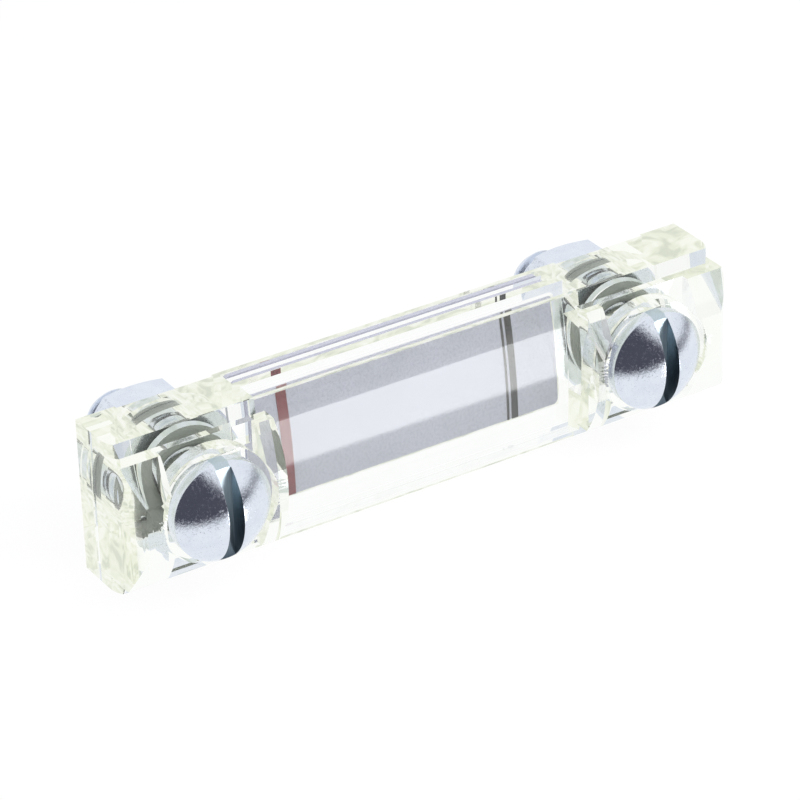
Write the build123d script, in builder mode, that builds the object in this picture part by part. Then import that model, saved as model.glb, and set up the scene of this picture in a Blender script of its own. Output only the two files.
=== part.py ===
"""Column level gauge: a clear lens body welded to a clear base, a lacquered
contrast screen behind it, and two drilled fixing screws that carry the fluid.
Frame: X along the gauge, Y from the tank side (+) to the reader (-), Z across.
The plane Y = 0 is the mounting face and the screws stand at X = -38 and X = +38."""
import os

from build123d import *

# Driving dimensions, millimetres
hole_spacing = 76.0
body_length = 104.8
body_width = 24.8
base_thickness = 5.0
ledge_depth = 9.5
window_crest = 11.3
end_corner = 4.4

# Raised ends of the lens body, each with a seat for a screw head
block_inner = 27.2
block_half_width = 10.2
block_edge_depth = 12.6
block_crest = 16.0
rib_thickness = 3.0
seat_radius = 9.2
seat_depth = 14.0
recess_depth = 11.4

# Fluid passage between the two screws
channel_half_width = 5.6
channel_depth = 8.6
port_radius = 6.2
hole_radius = 5.5

# Contrast screen in its groove at the back
screen_length = 55.0
screen_width = 17.0
screen_thickness = 0.8
groove_depth = 1.6
groove_play = 0.15
print_thickness = 0.1
minimum_line_x = -20.2
minimum_line_width = 1.7
maximum_line_x = 19.6
maximum_line_width = 1.1
fine_line_x = 18.4
fine_line_width = 0.35

# Lowered lands and sealing ring counterbores at the back
land_step = 0.5
land_length = 16.0
ring_section = 1.2
ring_mean_radius = 6.6
ring_counterbore = 7.9
ring_counterbore_depth = 1.6

# Fixing screws, nuts and washers (M10)
thread_radius = 5.0
thread_pitch_radius = 4.51
thread_end = 17.6
thread_chamfer = 0.9
head_radius = 8.0
head_rim = 1.8
dome_height = 4.2
slot_width = 2.5
slot_depth = 3.4
bore_radius = 2.0
cross_hole_radius = 2.0
head_seal_section = 0.9
head_seal_radius = 6.35
ring_turn = 22.5
washer_radius = 10.0
washer_bore = 5.25
washer_thickness = 2.0
nut_flats = 17.0
nut_height = 8.0
nut_turn = 0.0
nut_chamfer_slope = 0.5774

half_length = body_length / 2
half_width = body_width / 2
screw_x = hole_spacing / 2
ring_back = 2 * ring_section - ring_counterbore_depth - land_step
washer_start = ring_back
nut_start = washer_start + washer_thickness
nut_end = nut_start + nut_height
nut_clearance = 0.4
rim_plane = -(seat_depth + head_rim)
dome_radius = (head_radius**2 + dome_height**2) / (2 * dome_height)
both_screws = GridLocations(hole_spacing, 1, 2, 1)

os.makedirs("parts", exist_ok=True)


def save(piece, label):
    """Name a finished piece and write it."""
    piece.part.label = label
    export_step(piece.part, "parts/" + label + ".step")


def bulged_section(plane, edge_depth, crest, half_height):
    """Section across the gauge: flat back and sides, round front."""
    with BuildSketch(plane) as section:
        with BuildLine():
            Line((-base_thickness, half_height), (-edge_depth, half_height))
            ThreePointArc((-edge_depth, half_height), (-crest, 0), (-edge_depth, -half_height))
            Line((-edge_depth, -half_height), (-base_thickness, -half_height))
            Line((-base_thickness, -half_height), (-base_thickness, half_height))
        make_face()
    return section.sketch


# Clear front body: a slim lens bar with a raised, round-fronted block at each end
with BuildPart() as lens_body:
    bar_section = bulged_section(Plane.YZ, ledge_depth, window_crest, half_width)
    extrude(bar_section, amount=half_length, both=True)
    # the bar's ends are rounded towards the front
    bar_ends = lens_body.edges().filter_by(GeomType.CIRCLE)
    fillet(bar_ends, radius=end_corner)
    for side in (-1, 1):
        block_plane = Plane.YZ.offset(side * block_inner)
        block_section = bulged_section(block_plane, block_edge_depth, block_crest, block_half_width)
        extrude(block_section, amount=side * (half_length - block_inner))
    block_ends = lens_body.edges().filter_by(GeomType.CIRCLE).filter_by_position(
        Axis.Y, -block_crest, -block_edge_depth
    )
    outer_arcs = [e for e in block_ends if abs(e.center().X) > half_length - 0.1]
    fillet(outer_arcs, radius=end_corner)
    # recess round each screw, open above and below, that leaves a rib beside the window
    recess_length = 2 * (screw_x - block_inner - rib_thickness)
    with BuildSketch(Plane.XZ.offset(recess_depth)):
        with both_screws:
            Rectangle(recess_length, body_width)
            Circle(seat_radius, mode=Mode.SUBTRACT)
    extrude(amount=block_crest, mode=Mode.SUBTRACT)
    # flat seat for the head, sunk into the round front
    with BuildSketch(Plane.XZ.offset(seat_depth)):
        with both_screws:
            Circle(seat_radius)
    extrude(amount=block_crest, mode=Mode.SUBTRACT)
    # counterbore for the ring under the head
    with BuildSketch(Plane.XZ.offset(seat_depth - 2 * head_seal_section)):
        with both_screws:
            Circle(head_seal_radius + head_seal_section)
    extrude(amount=2 * head_seal_section, mode=Mode.SUBTRACT)
    with BuildSketch(Plane.XZ):
        with both_screws:
            Circle(hole_radius)
    extrude(amount=block_crest, mode=Mode.SUBTRACT)
    # passage behind the window, with a round port about each screw
    with BuildSketch(Plane.XZ.offset(base_thickness)):
        Rectangle(hole_spacing, 2 * channel_half_width)
        with both_screws:
            Circle(port_radius)
    extrude(amount=channel_depth - base_thickness, mode=Mode.SUBTRACT)
save(lens_body, "lens_body")

# Clear rear base, welded to the lens body all round
with BuildPart() as rear_base:
    with BuildSketch(Plane.XZ):
        RectangleRounded(body_length, body_width, 0.8)
    extrude(amount=base_thickness)
    # lowered lands round the screws
    with BuildSketch(Plane.XZ):
        with both_screws:
            Rectangle(land_length, body_width)
    extrude(amount=land_step, mode=Mode.SUBTRACT)
    # counterbores for the sealing rings
    with BuildSketch(Plane.XZ.offset(land_step)):
        with both_screws:
            Circle(ring_counterbore)
    extrude(amount=ring_counterbore_depth, mode=Mode.SUBTRACT)
    with BuildSketch(Plane.XZ):
        with both_screws:
            Circle(hole_radius)
    extrude(amount=base_thickness, mode=Mode.SUBTRACT)
    # groove that holds the contrast screen
    with BuildSketch(Plane.XZ):
        Rectangle(screen_length + 2 * groove_play, screen_width + 2 * groove_play)
    extrude(amount=groove_depth, mode=Mode.SUBTRACT)
save(rear_base, "rear_base")

# Contrast screen, a lacquered strip that lies in the groove
screen_front = groove_depth - print_thickness
with BuildPart() as contrast_screen:
    with BuildSketch(Plane.XZ.offset(screen_front - screen_thickness)):
        RectangleRounded(screen_length, screen_width, 0.8)
    extrude(amount=screen_thickness)
save(contrast_screen, "contrast_screen")


def level_line(x, width):
    """One printed line across the screen's face."""
    with BuildPart() as line:
        with BuildSketch(Plane.XZ.offset(screen_front)):
            with Locations((x, 0)):
                Rectangle(width, screen_width)
        extrude(amount=print_thickness)
    return line


save(level_line(minimum_line_x, minimum_line_width), "minimum_level_line")
save(level_line(maximum_line_x, maximum_line_width), "maximum_level_line")
save(level_line(fine_line_x, fine_line_width), "maximum_fine_line")


def fixing_screw(x):
    """Drilled screw with a slotted, domed head. The shank's wall is the thread's crests,
    except in the nut, where the two meet at the pitch radius."""
    with BuildPart() as screw:
        with BuildSketch(Plane.XY):
            with BuildLine():
                Polyline(
                    (x, rim_plane - dome_height),
                    (x, thread_end),
                    (x + thread_radius - thread_chamfer, thread_end),
                    (x + thread_radius, thread_end - thread_chamfer),
                    (x + thread_radius, nut_end + nut_clearance),
                    (x + thread_pitch_radius, nut_end + nut_clearance),
                    (x + thread_pitch_radius, nut_start),
                    (x + thread_radius, nut_start),
                    (x + thread_radius, -seat_depth),
                    (x + head_radius, -seat_depth),
                    (x + head_radius, rim_plane),
                )
                RadiusArc(
                    (x + head_radius, rim_plane),
                    (x, rim_plane - dome_height),
                    dome_radius,
                )
            make_face()
        revolve(axis=Axis((x, 0, 0), (0, 1, 0)))
        # slot, cut straight across the dome
        with BuildSketch(Plane.XZ.offset(-(rim_plane - dome_height) - slot_depth)):
            with Locations((x, 0)):
                Rectangle(slot_width, 2 * head_radius + 2)
        extrude(amount=slot_depth + 1, mode=Mode.SUBTRACT)
        # axial bore from the tank end to the cross hole in the passage
        passage_middle = (base_thickness + channel_depth) / 2
        with BuildSketch(Plane.XZ.offset(-thread_end)):
            with Locations((x, 0)):
                Circle(bore_radius)
        extrude(amount=thread_end + passage_middle, mode=Mode.SUBTRACT)
        with BuildSketch(Plane.YZ.offset(x)):
            with Locations((-passage_middle, 0)):
                Circle(cross_hole_radius)
        extrude(amount=thread_radius + 1, both=True, mode=Mode.SUBTRACT)
    return screw


def hex_nut(x):
    """Hexagon nut with its flats above and below, chamfered at both faces."""
    across_corners = nut_flats / 0.8660254
    with BuildPart() as nut:
        with BuildSketch(Plane.XZ.offset(-nut_end)):
            with Locations((x, 0)):
                RegularPolygon(nut_flats / 2, 6, major_radius=False, rotation=nut_turn)
                Circle(thread_pitch_radius, mode=Mode.SUBTRACT)
        extrude(amount=nut_height)
        with BuildSketch(Plane.XY):
            with BuildLine():
                corner = across_corners / 2 + 0.3
                flat = nut_flats / 2 - 0.2
                drop = (corner - flat) * nut_chamfer_slope
                Polyline(
                    (x, nut_start),
                    (x + flat, nut_start),
                    (x + corner, nut_start + drop),
                    (x + corner, nut_end - drop),
                    (x + flat, nut_end),
                    (x, nut_end),
                    close=True,
                )
            make_face()
        revolve(axis=Axis((x, 0, 0), (0, 1, 0)), mode=Mode.INTERSECT)
    return nut


def washer(x):
    """Flat washer between the nut and the tank wall."""
    with BuildPart() as disc:
        with BuildSketch(Plane.XZ.offset(-washer_start - washer_thickness)):
            with Locations((x, 0)):
                Circle(washer_radius)
                Circle(washer_bore, mode=Mode.SUBTRACT)
        extrude(amount=washer_thickness)
        chamfer(disc.edges().filter_by(GeomType.CIRCLE).group_by(SortBy.LENGTH)[-1], 0.3)
    return disc


def ring(x, depth, mean_radius, section):
    """Rubber sealing ring, squeezed flat where it bears, with its section centred at Y = -depth."""
    with BuildPart() as seal:
        with BuildSketch(Plane.XY):
            with Locations((x + mean_radius, -depth)):
                RegularPolygon(section, 8, major_radius=False, rotation=ring_turn)
        revolve(axis=Axis((x, 0, 0), (0, 1, 0)))
    return seal


ring_depth = land_step + ring_counterbore_depth - ring_section
head_seal_depth = seat_depth - head_seal_section
for end, x in (("lower", -screw_x), ("upper", screw_x)):
    save(fixing_screw(x), end + "_fixing_screw")
    save(hex_nut(x), end + "_hex_nut")
    save(washer(x), end + "_washer")
    save(ring(x, ring_depth, ring_mean_radius, ring_section), end + "_rear_seal")
    save(ring(x, head_seal_depth, head_seal_radius, head_seal_section), end + "_head_seal")
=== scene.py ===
import bmesh
import bpy
import math
from mathutils import Matrix, Vector


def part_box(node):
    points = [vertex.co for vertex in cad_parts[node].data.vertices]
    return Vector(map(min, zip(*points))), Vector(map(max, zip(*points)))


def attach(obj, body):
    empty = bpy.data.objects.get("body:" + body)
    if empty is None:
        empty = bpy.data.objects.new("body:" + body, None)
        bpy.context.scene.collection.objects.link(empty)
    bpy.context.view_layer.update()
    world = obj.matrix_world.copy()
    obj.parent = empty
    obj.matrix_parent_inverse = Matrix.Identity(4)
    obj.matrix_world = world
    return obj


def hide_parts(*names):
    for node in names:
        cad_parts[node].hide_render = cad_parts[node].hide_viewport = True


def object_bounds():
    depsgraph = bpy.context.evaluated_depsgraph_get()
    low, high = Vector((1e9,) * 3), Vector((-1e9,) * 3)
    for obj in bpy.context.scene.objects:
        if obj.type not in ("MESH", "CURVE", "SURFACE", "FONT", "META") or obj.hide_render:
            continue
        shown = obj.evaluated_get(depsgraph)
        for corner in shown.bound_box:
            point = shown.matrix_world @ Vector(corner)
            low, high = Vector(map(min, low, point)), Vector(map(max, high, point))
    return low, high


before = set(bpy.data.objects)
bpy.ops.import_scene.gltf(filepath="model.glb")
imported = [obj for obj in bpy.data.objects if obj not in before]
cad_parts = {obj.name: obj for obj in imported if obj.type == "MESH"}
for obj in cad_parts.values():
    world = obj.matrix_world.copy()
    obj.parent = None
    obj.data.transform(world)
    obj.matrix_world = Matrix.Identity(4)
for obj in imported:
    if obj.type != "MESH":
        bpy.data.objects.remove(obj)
cad_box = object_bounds()

# ------------------------------------------------------------ studio: camera, room, lamps, table
# The gauge lies on its long side on a white table, with a softbox above and to the right and a
# white wall behind. The near side is dark, but for one strip light that shines on the window.
camera_data = bpy.data.cameras.new("studio_camera")
view_forward = Vector((0.45635, 0.73995, -0.49418))
view_sideways = Vector((0.84266, -0.53776, -0.02705))
camera_place = Vector((-0.27351, -0.44658, 0.29595))
camera_data.lens = 180.93
camera_data.sensor_width = 36.0
camera_data.clip_start = 0.05
camera = bpy.data.objects.new("studio_camera", camera_data)
bpy.context.scene.collection.objects.link(camera)
view_back = -view_forward.normalized()
view_up = view_back.cross(view_sideways).normalized()
view_right = view_up.cross(view_back)
view_turn = Matrix((view_right, view_up, view_back)).transposed().to_4x4()
camera.matrix_world = Matrix.Translation(camera_place) @ view_turn
bpy.context.scene.camera = camera
bpy.context.scene.view_settings.view_transform = "Standard"

dark_side = (0.085, 0.085, 0.108, 1)
lit_side = (0.98, 0.99, 1.0, 1)
lift_through_plastic = 0.86
grey_side_level = 0.34
strip_light_strength = 6.2
room = bpy.data.worlds.new("studio_room")
bpy.context.scene.world = room
room.use_nodes = True
tree = room.node_tree
tree.nodes.clear()
facing = tree.nodes.new("ShaderNodeTexCoord")


def room_zone(axis, low, high):
    """1 where the room lies further along the axis than high, 0 below low, soft between."""
    along = tree.nodes.new("ShaderNodeVectorMath")
    along.operation = "DOT_PRODUCT"
    along.inputs[1].default_value = axis
    tree.links.new(facing.outputs["Generated"], along.inputs[0])
    edge = tree.nodes.new("ShaderNodeMapRange")
    edge.interpolation_type = "SMOOTHSTEP"
    edge.inputs["From Min"].default_value = low
    edge.inputs["From Max"].default_value = high
    tree.links.new(along.outputs["Value"], edge.inputs["Value"])
    return edge.outputs["Result"]


def combined(nodes_of, operation, first, second):
    """One Math node between two sockets, or a socket and a number."""
    node = nodes_of.nodes.new("ShaderNodeMath")
    node.operation = operation
    for socket, value in zip(node.inputs, (first, second)):
        if isinstance(value, (int, float)):
            socket.default_value = value
        else:
            nodes_of.links.new(value, socket)
    return node.outputs[0]


white_wall = room_zone((0.25, 0.95, 0.15), 0.30, 0.55)
white_table_side = room_zone((0.235, 0, -1), 0.22, 0.30)
softbox = combined(
    tree, "MULTIPLY", room_zone((0.75, 0.0, 0.66), 0.40, 0.52), room_zone((0, 0, 1), 0.10, 0.24)
)
bright = combined(tree, "MAXIMUM", combined(tree, "MAXIMUM", white_wall, white_table_side), softbox)
path = tree.nodes.new("ShaderNodeLightPath")
seen_through = combined(tree, "MINIMUM", path.outputs["Transmission Depth"], 1.0)
grey_side = combined(tree, "MULTIPLY", room_zone((1, 0, 0), 0.55, 1.0), grey_side_level)
bright = combined(tree, "MAXIMUM", bright, grey_side)
plastic_lift = combined(tree, "MULTIPLY", seen_through, lift_through_plastic)
lifted = combined(tree, "MAXIMUM", bright, plastic_lift)
strip_light = room_zone((0, 0, -1), 0.185, 0.20)
for axis, low, high in (
    ((0, 0, 1), -0.50, -0.46), ((1, 0, 0), 0.38, 0.41), ((-1, 0, 0), -0.55, -0.51), ((0, -1, 0), 0.5, 0.6),
):
    strip_light = combined(tree, "MULTIPLY", strip_light, room_zone(axis, low, high))
from_outside = combined(tree, "SUBTRACT", 1.0, seen_through)
reflected = combined(tree, "MULTIPLY", path.outputs["Is Glossy Ray"], from_outside)
reflected = combined(tree, "MULTIPLY", reflected, strip_light_strength)
strip_light = combined(tree, "MULTIPLY", strip_light, reflected)
room_shade = tree.nodes.new("ShaderNodeMix")
room_shade.data_type = "RGBA"
room_shade.inputs["A"].default_value = dark_side
room_shade.inputs["B"].default_value = lit_side
tree.links.new(lifted, room_shade.inputs["Factor"])
room_light = tree.nodes.new("ShaderNodeBackground")
tree.links.new(room_shade.outputs["Result"], room_light.inputs["Color"])
tree.links.new(combined(tree, "ADD", strip_light, 1.0), room_light.inputs["Strength"])
white_sweep = tree.nodes.new("ShaderNodeBackground")
white_sweep.inputs["Color"].default_value = (1, 1, 1, 1)
room_mix = tree.nodes.new("ShaderNodeMixShader")
tree.links.new(path.outputs["Is Camera Ray"], room_mix.inputs["Fac"])
tree.links.new(room_light.outputs["Background"], room_mix.inputs[1])
tree.links.new(white_sweep.outputs["Background"], room_mix.inputs[2])
room_out = tree.nodes.new("ShaderNodeOutputWorld")
tree.links.new(room_mix.outputs["Shader"], room_out.inputs["Surface"])

lamp_size = 0.30
for lamp_name, lamp_place, lamp_power in (
    ("key_softbox", (0.32, -0.18, 0.42), 2.6),
    ("fill_softbox", (-0.35, -0.25, 0.35), 1.4),
):
    lamp_data = bpy.data.lights.new(lamp_name, "AREA")
    lamp_data.energy = lamp_power
    lamp_data.size = lamp_size
    lamp = bpy.data.objects.new(lamp_name, lamp_data)
    bpy.context.scene.collection.objects.link(lamp)
    lamp.location = lamp_place
    lamp.rotation_euler = (-Vector(lamp_place)).to_track_quat("-Z", "Y").to_euler()
    lamp.visible_glossy = False
    lamp.visible_transmission = False

table_level = cad_box[0][2] - 0.0002
table_reach = 1.5
table_whiteness = 0.95
table_mesh = bpy.data.meshes.new("white_table")
table_corners = [(x * table_reach, y * table_reach, table_level) for x, y in
                 ((-1, -1), (1, -1), (1, 1), (-1, 1))]
table_mesh.from_pydata(table_corners, [], [(0, 1, 2, 3)])
table = bpy.data.objects.new("white_table", table_mesh)
bpy.context.scene.collection.objects.link(table)
table_finish = bpy.data.materials.new("white_table")
table_finish.use_nodes = True
tree = table_finish.node_tree
tree.nodes.clear()
paper = tree.nodes.new("ShaderNodeBsdfDiffuse")
paper.inputs["Color"].default_value = (0.84, 0.85, 0.86, 1)
glow = tree.nodes.new("ShaderNodeEmission")
path = tree.nodes.new("ShaderNodeLightPath")
table_mix = tree.nodes.new("ShaderNodeMixShader")
seen_white = combined(tree, "MULTIPLY", path.outputs["Is Camera Ray"], table_whiteness)
tree.links.new(seen_white, table_mix.inputs["Fac"])
tree.links.new(paper.outputs["BSDF"], table_mix.inputs[1])
tree.links.new(glow.outputs["Emission"], table_mix.inputs[2])
table_out = tree.nodes.new("ShaderNodeOutputMaterial")
tree.links.new(table_mix.outputs["Shader"], table_out.inputs["Surface"])
table_mesh.materials.append(table_finish)
table.visible_glossy = False
table.visible_transmission = False

# ------------------------------------------------------------ clear body
# Lens bar with raised end blocks and the flat rear base, moulded in clear polyamide and welded
# together all round. The fluid stands in a passage between them, wide behind the window and
# narrow towards the screws. The plastic is water-clear across and pale yellow-green along.
lens_low, lens_high = (Vector(corner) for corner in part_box("lens_body"))
base_low, base_high = (Vector(corner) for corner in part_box("rear_base"))
screw_low, screw_high = (Vector(corner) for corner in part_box("upper_fixing_screw"))
screen_high = Vector(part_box("contrast_screen")[1])
half_length = lens_high.x
half_width = lens_high.z
weld_plane = base_low.y
screw_spacing = (screw_low.x + screw_high.x) / 2
side_depth = 0.0095
window_crest = 0.0113
block_crest = -lens_low.y
block_side_depth = 0.0126
block_half_width = 0.0102
block_inner = 0.0272
rib = 0.003
end_corner = 0.0044
seat_radius = 0.0092
seat_depth = 0.014
recess_depth = 0.0114
passage_depth = 0.0086
passage_half_width = 0.0056
window_half_length = 0.0282
window_half_width = 0.0117
port_radius = 0.0062
hole_radius = 0.0055
land_step = 0.0005
land_half_length = 0.008
ring_seat_radius = 0.0079
head_ring_radius = 0.00725
ring_seat_depth = 0.0016
head_ring_depth = 0.0018
groove_depth = 0.0016
groove_play = 0.00015
block_root = 0.0055
edge_softness = 0.00012
bevel_angle = math.radians(40)
crease_angle = math.radians(32)
tool_overrun = 0.004
tool_stagger = 0.001
tool_reach = 0.02


def prism(name, outline, low, high, along):
    """Closed prism over an outline, its two coordinates being the other two axes in order."""
    mesh = bmesh.new()
    others = [axis for axis in range(3) if axis != along]
    rings = []
    for level in (low, high):
        ring = []
        for first, second in outline:
            place = [0.0, 0.0, 0.0]
            place[others[0]] = first
            place[others[1]] = second
            place[along] = level
            ring.append(mesh.verts.new(place))
        rings.append(ring)
    count = len(outline)
    mesh.faces.new(rings[0])
    mesh.faces.new(rings[1])
    for index in range(count):
        after = (index + 1) % count
        mesh.faces.new((rings[0][index], rings[0][after], rings[1][after], rings[1][index]))
    bmesh.ops.recalc_face_normals(mesh, faces=mesh.faces)
    data = bpy.data.meshes.new(name)
    mesh.to_mesh(data)
    mesh.free()
    piece = bpy.data.objects.new(name, data)
    bpy.context.scene.collection.objects.link(piece)
    return piece


def circle_outline(centre_x, radius, count=128):
    """Round outline across the gauge's back, about one screw."""
    turns = (2 * math.pi * (index + 0.5) / count for index in range(count))
    return [(centre_x + radius * math.cos(turn), radius * math.sin(turn)) for turn in turns]


def rectangle_outline(centre, half_first, half_second):
    """Rectangle about a centre on the first coordinate."""
    return [(centre + a * half_first, b * half_second) for a, b in ((-1, -1), (1, -1), (1, 1), (-1, 1))]


def bulged_outline(side, crest, half_height, back, steps=40):
    """Section of the clear body: flat back and sides, round front."""
    rise = crest - side
    radius = (half_height**2 + rise**2) / (2 * rise)
    sweep = math.asin(half_height / radius)
    points = [(back, half_height)]
    for index in range(steps + 1):
        angle = sweep * (1 - 2 * index / steps)
        points.append((-crest + radius * (1 - math.cos(angle)), radius * math.sin(angle)))
    points.append((back, -half_height))
    return points


def rounded_plan(front, back, radius, steps=16):
    """Plan of the gauge with its two front corners rounded."""
    points = [(half_length, back)]
    for side in (1, -1):
        arc = []
        for index in range(steps + 1):
            turn = 0.5 * math.pi * index / steps
            arc.append((side * (half_length - radius + radius * math.cos(turn)),
                        front + radius - radius * math.sin(turn)))
        points += arc if side == 1 else arc[::-1]
    points.append((-half_length, back))
    return points


def worked(target, tool, operation):
    """The target with one boolean tool applied and used up."""
    step = target.modifiers.new("step", "BOOLEAN")
    step.operation = operation
    step.solver = "EXACT"
    step.object = tool
    graph = bpy.context.evaluated_depsgraph_get()
    data = bpy.data.meshes.new_from_object(target.evaluated_get(graph))
    result = bpy.data.objects.new(target.name, data)
    bpy.context.scene.collection.objects.link(result)
    bpy.data.objects.remove(target)
    bpy.data.objects.remove(tool)
    return result


def noise(tree, vector, scale, detail):
    """Noise texture over a coordinate."""
    node = tree.nodes.new("ShaderNodeTexNoise")
    node.inputs["Scale"].default_value = scale
    node.inputs["Detail"].default_value = detail
    tree.links.new(vector, node.inputs["Vector"])
    return node


def gloss_from(tree, skin, mask, smooth, rough):
    """Roughness of a skin that follows a mask from smooth to rough."""
    node = tree.nodes.new("ShaderNodeMapRange")
    node.inputs["To Min"].default_value = smooth
    node.inputs["To Max"].default_value = rough
    tree.links.new(mask, node.inputs["Value"])
    tree.links.new(node.outputs["Result"], skin.inputs["Roughness"])
    return node


def relief_from(tree, skin, mask, strength, distance):
    """Bump of a skin that follows a mask."""
    node = tree.nodes.new("ShaderNodeBump")
    node.inputs["Strength"].default_value = strength
    node.inputs["Distance"].default_value = distance
    tree.links.new(mask, node.inputs["Height"])
    tree.links.new(node.outputs["Normal"], skin.inputs["Normal"])


clear_body = prism("clear_bar", bulged_outline(side_depth, window_crest, half_width, base_high.y),
                   -half_length, half_length, 0)
clear_body = worked(
    clear_body,
    prism("plan", rounded_plan(-window_crest, tool_stagger, end_corner), -tool_reach, tool_reach, 2),
    "INTERSECT",
)
for side in (-1, 1):
    ends = sorted((side * block_inner, side * half_length))
    block = prism("block", bulged_outline(block_side_depth, block_crest, block_half_width, -block_root),
                  ends[0], ends[1], 0)
    plan = prism("plan", rounded_plan(-block_crest, tool_stagger, end_corner), -tool_reach, tool_reach, 2)
    block = worked(block, plan, "INTERSECT")
    clear_body = worked(clear_body, block, "UNION")
front = -block_crest - tool_overrun
for side in (-1, 1):
    middle = side * screw_spacing
    recess_half = screw_spacing - block_inner - rib
    recess = prism("recess", rectangle_outline(middle, recess_half, half_width + tool_stagger),
                   front, -recess_depth, 1)
    keep = prism("seat_post", circle_outline(middle, seat_radius),
                 front - tool_stagger, -recess_depth + tool_stagger, 1)
    clear_body = worked(clear_body, worked(recess, keep, "DIFFERENCE"), "DIFFERENCE")
    back = -base_high.y + tool_overrun
    ring_floor = -land_step - ring_seat_depth
    for radius, low, high in (
        (hole_radius, front, back),
        (seat_radius, front - tool_stagger, -seat_depth),
        (head_ring_radius, front - 2 * tool_stagger, -seat_depth + head_ring_depth),
        (port_radius, -passage_depth, weld_plane),
        (ring_seat_radius, ring_floor, back + tool_stagger),
    ):
        tool = prism("cutter", circle_outline(middle, radius), low, high, 1)
        clear_body = worked(clear_body, tool, "DIFFERENCE")
    land = prism("land", rectangle_outline(middle, land_half_length, half_width + tool_stagger),
                 -land_step, back, 1)
    clear_body = worked(clear_body, land, "DIFFERENCE")
passage_outline = [
    (-screw_spacing, -passage_half_width), (-window_half_length, -passage_half_width),
    (-window_half_length, -window_half_width), (window_half_length, -window_half_width),
    (window_half_length, -passage_half_width), (screw_spacing, -passage_half_width),
    (screw_spacing, passage_half_width), (window_half_length, passage_half_width),
    (window_half_length, window_half_width), (-window_half_length, window_half_width),
    (-window_half_length, passage_half_width), (-screw_spacing, passage_half_width),
]
passage = prism("passage", passage_outline, -passage_depth, weld_plane, 1)
clear_body = worked(clear_body, passage, "DIFFERENCE")
groove = prism("groove", rectangle_outline(0.0, screen_high.x + groove_play, screen_high.z + groove_play),
               -groove_depth, back, 1)
clear_body = worked(clear_body, groove, "DIFFERENCE")
clear_body.name = "clear_body"
clear_body.data.name = "clear_body"
soft_edges = clear_body.modifiers.new("soft_edges", "BEVEL")
soft_edges.width = edge_softness
soft_edges.segments = 2
soft_edges.limit_method = "ANGLE"
soft_edges.angle_limit = bevel_angle
soft_edges.use_clamp_overlap = True
graph = bpy.context.evaluated_depsgraph_get()
bevelled = bpy.data.meshes.new_from_object(clear_body.evaluated_get(graph))
clear_body.modifiers.clear()
clear_body.data = bevelled
bevelled.name = "clear_body"
bevelled.polygons.foreach_set("use_smooth", [True] * len(bevelled.polygons))
bevelled.set_sharp_from_angle(angle=crease_angle)
even_shine = clear_body.modifiers.new("even_shine", "WEIGHTED_NORMAL")
even_shine.keep_sharp = True
even_shine.weight = 100
graph = bpy.context.evaluated_depsgraph_get()
polished = bpy.data.meshes.new_from_object(clear_body.evaluated_get(graph))
clear_body.modifiers.clear()
clear_body.data = polished
polished.name = "clear_body"

most_faces = 4.5
most_reflections = 1.5
polyamide = bpy.data.materials.new("clear_polyamide")
polyamide.use_nodes = True
tree = polyamide.node_tree
skin = tree.nodes["Principled BSDF"]
skin.inputs["Base Color"].default_value = (1, 1, 1, 1)
skin.inputs["Transmission Weight"].default_value = 1.0
skin.inputs["IOR"].default_value = 1.5
place = tree.nodes.new("ShaderNodeTexCoord")
flow = noise(tree, place.outputs["Object"], 260.0, 2.0)
relief_from(tree, skin, flow.outputs["Fac"], 0.05, 0.0001)
gloss_from(tree, skin, flow.outputs["Fac"], 0.0, 0.03)
tint = tree.nodes.new("ShaderNodeVolumeAbsorption")
tint.inputs["Color"].default_value = (0.93, 0.97, 0.45, 1)
tint.inputs["Density"].default_value = 4.5
tree.links.new(tint.outputs["Volume"], tree.nodes["Material Output"].inputs["Volume"])
# Light reaches the screen straight through the plastic, so that no caustics are needed.
clear_way = tree.nodes.new("ShaderNodeBsdfTransparent")
clear_way.inputs["Color"].default_value = (0.95, 0.96, 0.93, 1)
rays = tree.nodes.new("ShaderNodeLightPath")
lit_through = combined(tree, "MAXIMUM", rays.outputs["Is Shadow Ray"], rays.outputs["Is Diffuse Ray"])
body_mix = tree.nodes.new("ShaderNodeMixShader")
tree.links.new(lit_through, body_mix.inputs["Fac"])
tree.links.new(skin.outputs["BSDF"], body_mix.inputs[1])
tree.links.new(clear_way.outputs["BSDF"], body_mix.inputs[2])
# A ray that has crossed many faces would end dark, so there the plastic shows a painted pale, mottled glow.
glow_mottle = noise(tree, place.outputs["Object"], 240.0, 3.0)
glow_mottle.inputs["Distortion"].default_value = 1.0
glow_tones = tree.nodes.new("ShaderNodeValToRGB")
glow_tones.color_ramp.elements[0].position = 0.36
glow_tones.color_ramp.elements[0].color = (0.67, 0.71, 0.63, 1)
glow_tones.color_ramp.elements[1].position = 0.62
glow_tones.color_ramp.elements[1].color = (0.93, 0.945, 0.91, 1)
pale_green_glow = glow_tones.color_ramp.elements.new(0.46)
pale_green_glow.color = (0.82, 0.85, 0.745, 1)
tree.links.new(glow_mottle.outputs["Fac"], glow_tones.inputs["Fac"])
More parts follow.
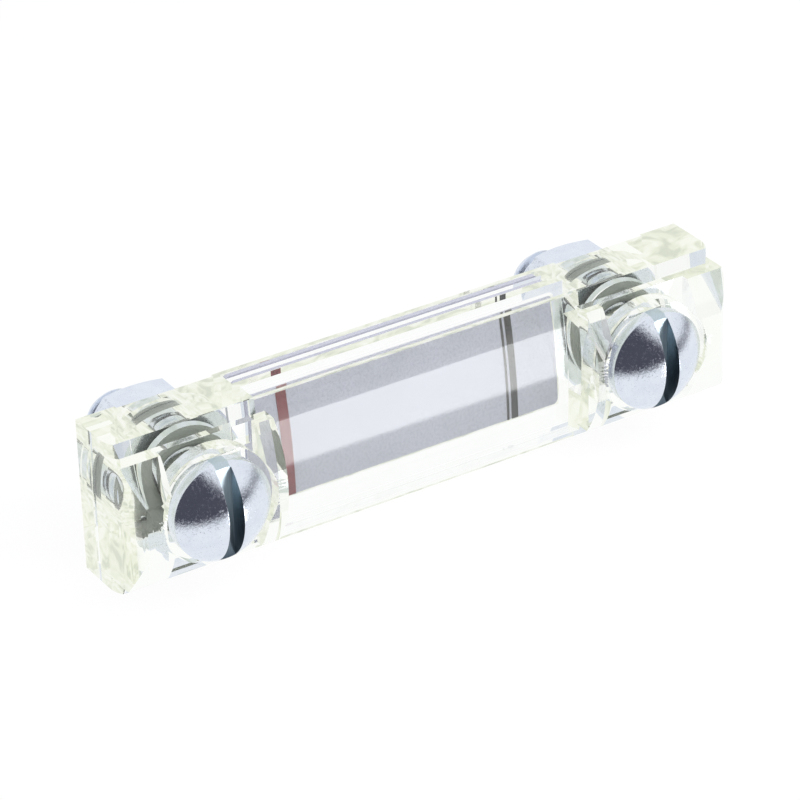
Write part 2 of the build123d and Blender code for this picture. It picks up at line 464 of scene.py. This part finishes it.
# Painted light: an emission on the plastic, which is no lamp.
inner_glow = tree.nodes.new("ShaderNodeEmission")
tree.links.new(glow_tones.outputs["Color"], inner_glow.inputs["Color"])
many_faces = combined(tree, "GREATER_THAN", rays.outputs["Ray Depth"], most_faces)
many_mirrors = combined(tree, "GREATER_THAN", rays.outputs["Glossy Depth"], most_reflections)
deep = combined(tree, "MAXIMUM", many_faces, many_mirrors)
deep = combined(tree, "MULTIPLY", deep, combined(tree, "SUBTRACT", 1.0, lit_through))
whole_body = tree.nodes.new("ShaderNodeMixShader")
tree.links.new(deep, whole_body.inputs["Fac"])
tree.links.new(body_mix.outputs["Shader"], whole_body.inputs[1])
tree.links.new(inner_glow.outputs["Emission"], whole_body.inputs[2])
tree.links.new(whole_body.outputs["Shader"], tree.nodes["Material Output"].inputs["Surface"])
clear_body.data.materials.clear()
clear_body.data.materials.append(polyamide)
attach(clear_body, "root")
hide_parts("lens_body", "rear_base")

# ------------------------------------------------------------ contrast screen and level lines
# Aluminium strip lacquered satin white that lies in the groove at the back. The minimum line
# is printed on its front in red, the maximum line in black.
mottle_group = bpy.data.node_groups.new("fine_mottle", "ShaderNodeTree")
for socket_name, socket_value in (("Scale", 2600.0), ("Low", 0.3), ("High", 0.46)):
    socket = mottle_group.interface.new_socket(socket_name, in_out="INPUT", socket_type="NodeSocketFloat")
    socket.default_value = socket_value
for socket_name in ("Mask", "Roughness"):
    mottle_group.interface.new_socket(socket_name, in_out="OUTPUT", socket_type="NodeSocketFloat")
group_in = mottle_group.nodes.new("NodeGroupInput")
group_out = mottle_group.nodes.new("NodeGroupOutput")
group_place = mottle_group.nodes.new("ShaderNodeTexCoord")
grain = mottle_group.nodes.new("ShaderNodeTexNoise")
grain.inputs["Detail"].default_value = 5.0
mottle_group.links.new(group_place.outputs["Object"], grain.inputs["Vector"])
mottle_group.links.new(group_in.outputs["Scale"], grain.inputs["Scale"])
gloss = mottle_group.nodes.new("ShaderNodeMapRange")
mottle_group.links.new(grain.outputs["Fac"], gloss.inputs["Value"])
mottle_group.links.new(group_in.outputs["Low"], gloss.inputs["To Min"])
mottle_group.links.new(group_in.outputs["High"], gloss.inputs["To Max"])
mottle_group.links.new(grain.outputs["Fac"], group_out.inputs["Mask"])
mottle_group.links.new(gloss.outputs["Result"], group_out.inputs["Roughness"])


def satin_finish(name, dark, light, grain_scale, smooth, rough):
    """Satin skin whose colour, gloss and relief follow one fine mottle."""
    finish = bpy.data.materials.new(name)
    finish.use_nodes = True
    tree = finish.node_tree
    skin = tree.nodes["Principled BSDF"]
    mottle = tree.nodes.new("ShaderNodeGroup")
    mottle.node_tree = mottle_group
    mottle.inputs["Scale"].default_value = grain_scale
    mottle.inputs["Low"].default_value = smooth
    mottle.inputs["High"].default_value = rough
    colour = tree.nodes.new("ShaderNodeMix")
    colour.data_type = "RGBA"
    colour.inputs["A"].default_value = (*dark, 1)
    colour.inputs["B"].default_value = (*light, 1)
    tree.links.new(mottle.outputs["Mask"], colour.inputs["Factor"])
    tree.links.new(colour.outputs["Result"], skin.inputs["Base Color"])
    tree.links.new(mottle.outputs["Roughness"], skin.inputs["Roughness"])
    relief_from(tree, skin, mottle.outputs["Mask"], 0.12, 0.00002)
    return finish


def dress(node, finish):
    """Gives a CAD node its finish."""
    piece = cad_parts[node]
    piece.data.materials.clear()
    piece.data.materials.append(finish)


fine_grain = 2600
lacquer = satin_finish("white_lacquer", (0.305, 0.302, 0.425), (0.355, 0.350, 0.490), fine_grain, 0.2, 0.36)
red_print = satin_finish("red_print", (0.13, 0.010, 0.021), (0.19, 0.018, 0.033), fine_grain, 0.35, 0.5)
black_print = satin_finish("black_print", (0.010, 0.010, 0.013), (0.016, 0.016, 0.02), fine_grain, 0.35, 0.5)
dress("contrast_screen", lacquer)
dress("minimum_level_line", red_print)
dress("maximum_level_line", black_print)
dress("maximum_fine_line", black_print)

# ------------------------------------------------------------ sealing rings
# Moulded nitrile rubber rings of round section: one behind the base and one under the head of
# each screw. The rubber is dark grey, because the clear plastic deepens it.
finest_grain = 5200
ring_steps = 96
section_steps = 20
rubber = satin_finish("black_rubber", (0.10, 0.112, 0.107), (0.17, 0.185, 0.176), finest_grain, 0.5, 0.68)


def ring_piece(node, finish):
    """Round rubber ring in the place of a CAD ring."""
    low, high = (Vector(corner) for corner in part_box(node))
    centre = (low + high) / 2
    section = (high.y - low.y) / 2
    mean_radius = (high.x - low.x) / 2 - section
    mesh = bmesh.new()
    rows = []
    for step in range(ring_steps):
        turn = 2 * math.pi * step / ring_steps
        row = []
        for part in range(section_steps):
            angle = 2 * math.pi * part / section_steps
            reach = mean_radius + section * math.cos(angle)
            place = (reach * math.cos(turn), section * math.sin(angle), reach * math.sin(turn))
            row.append(mesh.verts.new(centre + Vector(place)))
        rows.append(row)
    for step in range(ring_steps):
        for part in range(section_steps):
            here, after = rows[step], rows[(step + 1) % ring_steps]
            following = (part + 1) % section_steps
            mesh.faces.new((here[part], here[following], after[following], after[part]))
    bmesh.ops.recalc_face_normals(mesh, faces=mesh.faces)
    data = bpy.data.meshes.new(node + "_ring")
    mesh.to_mesh(data)
    mesh.free()
    data.polygons.foreach_set("use_smooth", [True] * len(data.polygons))
    data.materials.append(finish)
    ring = bpy.data.objects.new(node + "_ring", data)
    bpy.context.scene.collection.objects.link(ring)
    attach(ring, "root")
    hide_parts(node)


for end in ("lower", "upper"):
    ring_piece(end + "_rear_seal", rubber)
    ring_piece(end + "_head_seal", rubber)

# ------------------------------------------------------------ fixing screws
# Steel screws with a slotted, domed head and an M10 thread, drilled to carry the fluid, then
# zinc plated with a faint blue cast. The thread follows a helix sunk into the shank.
thread_pitch = 0.0015
thread_radius = 0.005
thread_depth = 0.00092
thread_chamfer = 0.0009
thread_lead = 0.3
unrolled_turns = 0.55
flank_share = 0.46
crest_share = 0.07
sunk_share = 0.25
run_out_rate = 16.0
run_out_least = 0.05
rim_height = 0.0018
slot_half_width = 0.00125
slot_depth = 0.0034
slot_overrun = 0.001
bore_radius = 0.002
bore_floor = -0.0068
end_chamfer = 0.0003
dome_steps = 32
rim_angle = math.radians(35)
facet_angle = math.radians(28)

zinc = bpy.data.materials.new("blue_zinc_plate")
zinc.use_nodes = True
tree = zinc.node_tree
skin = tree.nodes["Principled BSDF"]
skin.inputs["Metallic"].default_value = 1.0
place = tree.nodes.new("ShaderNodeTexCoord")
pits = noise(tree, place.outputs["Object"], 2600.0, 6.0)
pits.inputs["Roughness"].default_value = 0.7
patches = noise(tree, place.outputs["Object"], 420.0, 3.0)
tone = tree.nodes.new("ShaderNodeMix")
tone.data_type = "RGBA"
tone.inputs["A"].default_value = (0.66, 0.72, 0.82, 1)
tone.inputs["B"].default_value = (0.84, 0.87, 0.93, 1)
tree.links.new(patches.outputs["Fac"], tone.inputs["Factor"])
tree.links.new(tone.outputs["Result"], skin.inputs["Base Color"])
gloss = gloss_from(tree, skin, pits.outputs["Fac"], 0.05, 0.42)
gloss.inputs["From Min"].default_value = 0.50
gloss.inputs["From Max"].default_value = 0.63
relief_from(tree, skin, pits.outputs["Fac"], 0.75, 0.00004)

# The slot is cut with a straight cutter, so its marks run along it. Its colour is darker towards
# its lower end, as painted shade.
milled = bpy.data.materials.new("milled_slot")
milled.use_nodes = True
tree = milled.node_tree
skin = tree.nodes["Principled BSDF"]
skin.inputs["Metallic"].default_value = 1.0
place = tree.nodes.new("ShaderNodeTexCoord")
stretch = tree.nodes.new("ShaderNodeMapping")
stretch.inputs["Scale"].default_value = (9000, 9000, 260)
tree.links.new(place.outputs["Object"], stretch.inputs["Vector"])
marks = noise(tree, stretch.outputs["Vector"], 1.0, 3.0)
tone = tree.nodes.new("ShaderNodeMix")
tone.data_type = "RGBA"
tone.inputs["A"].default_value = (0.06, 0.085, 0.11, 1)
tone.inputs["B"].default_value = (0.62, 0.72, 0.78, 1)
heights = tree.nodes.new("ShaderNodeSeparateXYZ")
tree.links.new(place.outputs["Object"], heights.inputs["Vector"])
# Painted shade: the slot's colour falls off towards its lower end.
slot_shade_fall = tree.nodes.new("ShaderNodeMapRange")
slot_shade_fall.inputs["From Min"].default_value = -0.0075
slot_shade_fall.inputs["From Max"].default_value = 0.0065
tree.links.new(heights.outputs["Z"], slot_shade_fall.inputs["Value"])
lifted_marks = combined(tree, "ADD", marks.outputs["Fac"], 0.35)
shade_and_marks = combined(tree, "MULTIPLY", slot_shade_fall.outputs["Result"], lifted_marks)
tree.links.new(shade_and_marks, tone.inputs["Factor"])
tree.links.new(tone.outputs["Result"], skin.inputs["Base Color"])
gloss_from(tree, skin, marks.outputs["Fac"], 0.22, 0.42)
relief_from(tree, skin, marks.outputs["Fac"], 0.4, 0.00001)

thread_tree = bpy.data.node_groups.new("screw_thread", "GeometryNodeTree")
thread_tree.interface.new_socket("Geometry", in_out="INPUT", socket_type="NodeSocketGeometry")
thread_inputs = {}
for socket_name, socket_type in (
    ("Pitch", "NodeSocketFloat"), ("Turns", "NodeSocketFloat"), ("Root Radius", "NodeSocketFloat"),
    ("Depth", "NodeSocketFloat"), ("Start", "NodeSocketVector"), ("Material", "NodeSocketMaterial"),
):
    socket = thread_tree.interface.new_socket(socket_name, in_out="INPUT", socket_type=socket_type)
    thread_inputs[socket_name] = socket.identifier
thread_tree.interface.new_socket("Geometry", in_out="OUTPUT", socket_type="NodeSocketGeometry")


def gn(kind, **values):
    """A node of the thread's tree, its inputs set by name from values or linked sockets."""
    node = thread_tree.nodes.new(kind)
    for key, value in values.items():
        socket = node.inputs[key.replace("_", " ")]
        if isinstance(value, bpy.types.NodeSocket):
            thread_tree.links.new(value, socket)
        else:
            socket.default_value = value
    return node


given = thread_tree.nodes.new("NodeGroupInput").outputs
helix_height = combined(thread_tree, "MULTIPLY", given["Turns"], given["Pitch"])
helix = gn(
    "GeometryNodeCurveSpiral", Resolution=72, Rotations=given["Turns"], Start_Radius=given["Root Radius"],
    End_Radius=given["Root Radius"], Height=helix_height, Reverse=True,
)
upright = gn("GeometryNodeSetCurveNormal", Curve=helix.outputs["Curve"])
upright.mode = "Z_UP"
along = thread_tree.nodes.new("GeometryNodeSplineParameter").outputs["Factor"]
nearer_end = combined(thread_tree, "MINIMUM", along, combined(thread_tree, "SUBTRACT", 1.0, along))
from_end = combined(thread_tree, "MULTIPLY", nearer_end, run_out_rate)
run_out = combined(thread_tree, "MINIMUM", combined(thread_tree, "ADD", from_end, run_out_least), 1.0)
ridge_path = gn("GeometryNodeSetCurveRadius", Curve=upright.outputs["Curve"], Radius=run_out)
sunk = combined(thread_tree, "MULTIPLY", given["Depth"], -sunk_share)
profile = thread_tree.nodes.new("GeometryNodeCurvePrimitiveQuadrilateral")
profile.mode = "POINTS"
for index, (height, share) in enumerate((
    (sunk, flank_share), (given["Depth"], crest_share), (given["Depth"], -crest_share), (sunk, -flank_share),
)):
    corner = gn("ShaderNodeCombineXYZ", X=height, Y=combined(thread_tree, "MULTIPLY", given["Pitch"], share))
    thread_tree.links.new(corner.outputs["Vector"], profile.inputs["Point " + str(index + 1)])
ridge = gn(
    "GeometryNodeCurveToMesh", Curve=ridge_path.outputs["Curve"],
    Profile_Curve=profile.outputs["Curve"], Fill_Caps=True,
)
stood = gn(
    "GeometryNodeTransform", Geometry=ridge.outputs["Mesh"], Translation=given["Start"],
    Rotation=(-math.pi / 2, 0.0, 0.0),
)
whole = gn("GeometryNodeJoinGeometry")
thread_tree.links.new(stood.outputs["Geometry"], whole.inputs["Geometry"])
realized = gn("GeometryNodeRealizeInstances", Geometry=whole.outputs["Geometry"])
plated = gn("GeometryNodeSetMaterial", Geometry=realized.outputs["Geometry"], Material=given["Material"])
thread_out = thread_tree.nodes.new("NodeGroupOutput")
thread_tree.links.new(plated.outputs["Geometry"], thread_out.inputs["Geometry"])


def lathe(name, outline, centre_x, count=128):
    """Closed solid turned about a screw's axis; the outline runs from pole to pole as (radius, y)."""
    mesh = bmesh.new()
    rings = []
    for radius, y in outline:
        if radius < 1e-7:
            rings.append([mesh.verts.new((centre_x, y, 0.0))])
            continue
        turns = [2 * math.pi * step / count for step in range(count)]
        places = [(centre_x + radius * math.cos(t), y, radius * math.sin(t)) for t in turns]
        rings.append([mesh.verts.new(place) for place in places])
    for here, after in zip(rings, rings[1:]):
        for step in range(count):
            following = (step + 1) % count
            corners = [here[step % len(here)], here[following % len(here)],
                       after[following % len(after)], after[step % len(after)]]
            mesh.faces.new(list(dict.fromkeys(corners)))
    bmesh.ops.recalc_face_normals(mesh, faces=mesh.faces)
    data = bpy.data.meshes.new(name)
    mesh.to_mesh(data)
    mesh.free()
    piece = bpy.data.objects.new(name, data)
    bpy.context.scene.collection.objects.link(piece)
    return piece


for end in ("lower", "upper"):
    low, high = (Vector(corner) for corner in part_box(end + "_fixing_screw"))
    centre_x = (low.x + high.x) / 2
    head_radius = (high.x - low.x) / 2
    rim_plane = -seat_depth - rim_height
    dome_height = rim_plane - low.y
    dome_radius = (head_radius**2 + dome_height**2) / (2 * dome_height)
    dome_sweep = math.asin(head_radius / dome_radius)
    outline = []
    for step in range(dome_steps + 1):
        angle = dome_sweep * step / dome_steps
        outline.append((dome_radius * math.sin(angle), low.y + dome_radius * (1 - math.cos(angle))))
    root_radius = thread_radius - thread_depth
    thread_start = weld_plane
    outline += [
        (head_radius, -seat_depth), (thread_radius, -seat_depth), (thread_radius, thread_start),
        (root_radius, thread_start + thread_pitch / 2), (root_radius, high.y - end_chamfer),
        (root_radius - end_chamfer, high.y), (bore_radius, high.y), (bore_radius, bore_floor),
        (0.0, bore_floor),
    ]
    screw = lathe(end + "_screw", outline, centre_x)
    slot = prism("slot", rectangle_outline(centre_x, slot_half_width, head_radius + slot_overrun),
                 low.y - slot_overrun, low.y + slot_depth, 1)
    screw = worked(screw, slot, "DIFFERENCE")
    screw.data.materials.append(zinc)
    screw.data.materials.append(milled)
    for face in screw.data.polygons:
        in_slot = abs(face.center.x - centre_x) < slot_half_width + 1e-6 and face.center.y < -seat_depth
        face.material_index = 1 if in_slot else 0
    soft_rim = screw.modifiers.new("soft_rim", "BEVEL")
    soft_rim.width = edge_softness
    soft_rim.segments = 3
    soft_rim.limit_method = "ANGLE"
    soft_rim.angle_limit = rim_angle
    graph = bpy.context.evaluated_depsgraph_get()
    turned = bpy.data.meshes.new_from_object(screw.evaluated_get(graph))
    screw.modifiers.clear()
    screw.data = turned
    turned.name = end + "_screw"

    thread_mesh = bpy.data.meshes.new(end + "_thread")
    thread = bpy.data.objects.new(end + "_thread", thread_mesh)
    bpy.context.scene.collection.objects.link(thread)
    rolled = thread.modifiers.new("thread", "NODES")
    rolled.node_group = thread_tree
    rolled[thread_inputs["Pitch"]] = thread_pitch
    threaded_length = high.y - thread_chamfer / 2 - thread_start
    rolled[thread_inputs["Turns"]] = threaded_length / thread_pitch - unrolled_turns
    rolled[thread_inputs["Root Radius"]] = root_radius
    rolled[thread_inputs["Depth"]] = thread_depth
    rolled[thread_inputs["Start"]] = (centre_x, thread_start + thread_pitch * thread_lead, 0.0)
    rolled[thread_inputs["Material"]] = zinc
    graph = bpy.context.evaluated_depsgraph_get()
    ridge_mesh = bpy.data.meshes.new_from_object(thread.evaluated_get(graph))
    bpy.data.objects.remove(thread)
    joined = bmesh.new()
    joined.from_mesh(turned)
    joined.from_mesh(ridge_mesh)
    joined.to_mesh(turned)
    joined.free()
    turned.polygons.foreach_set("use_smooth", [True] * len(turned.polygons))
    turned.set_sharp_from_angle(angle=facet_angle)
    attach(screw, "root")
    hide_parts(end + "_fixing_screw")

# ------------------------------------------------------------ nuts and washers
# Hexagon nuts and flat washers of the same plated steel, drawn up behind the base.
for end in ("lower", "upper"):
    dress(end + "_hex_nut", zinc)
    dress(end + "_washer", zinc)
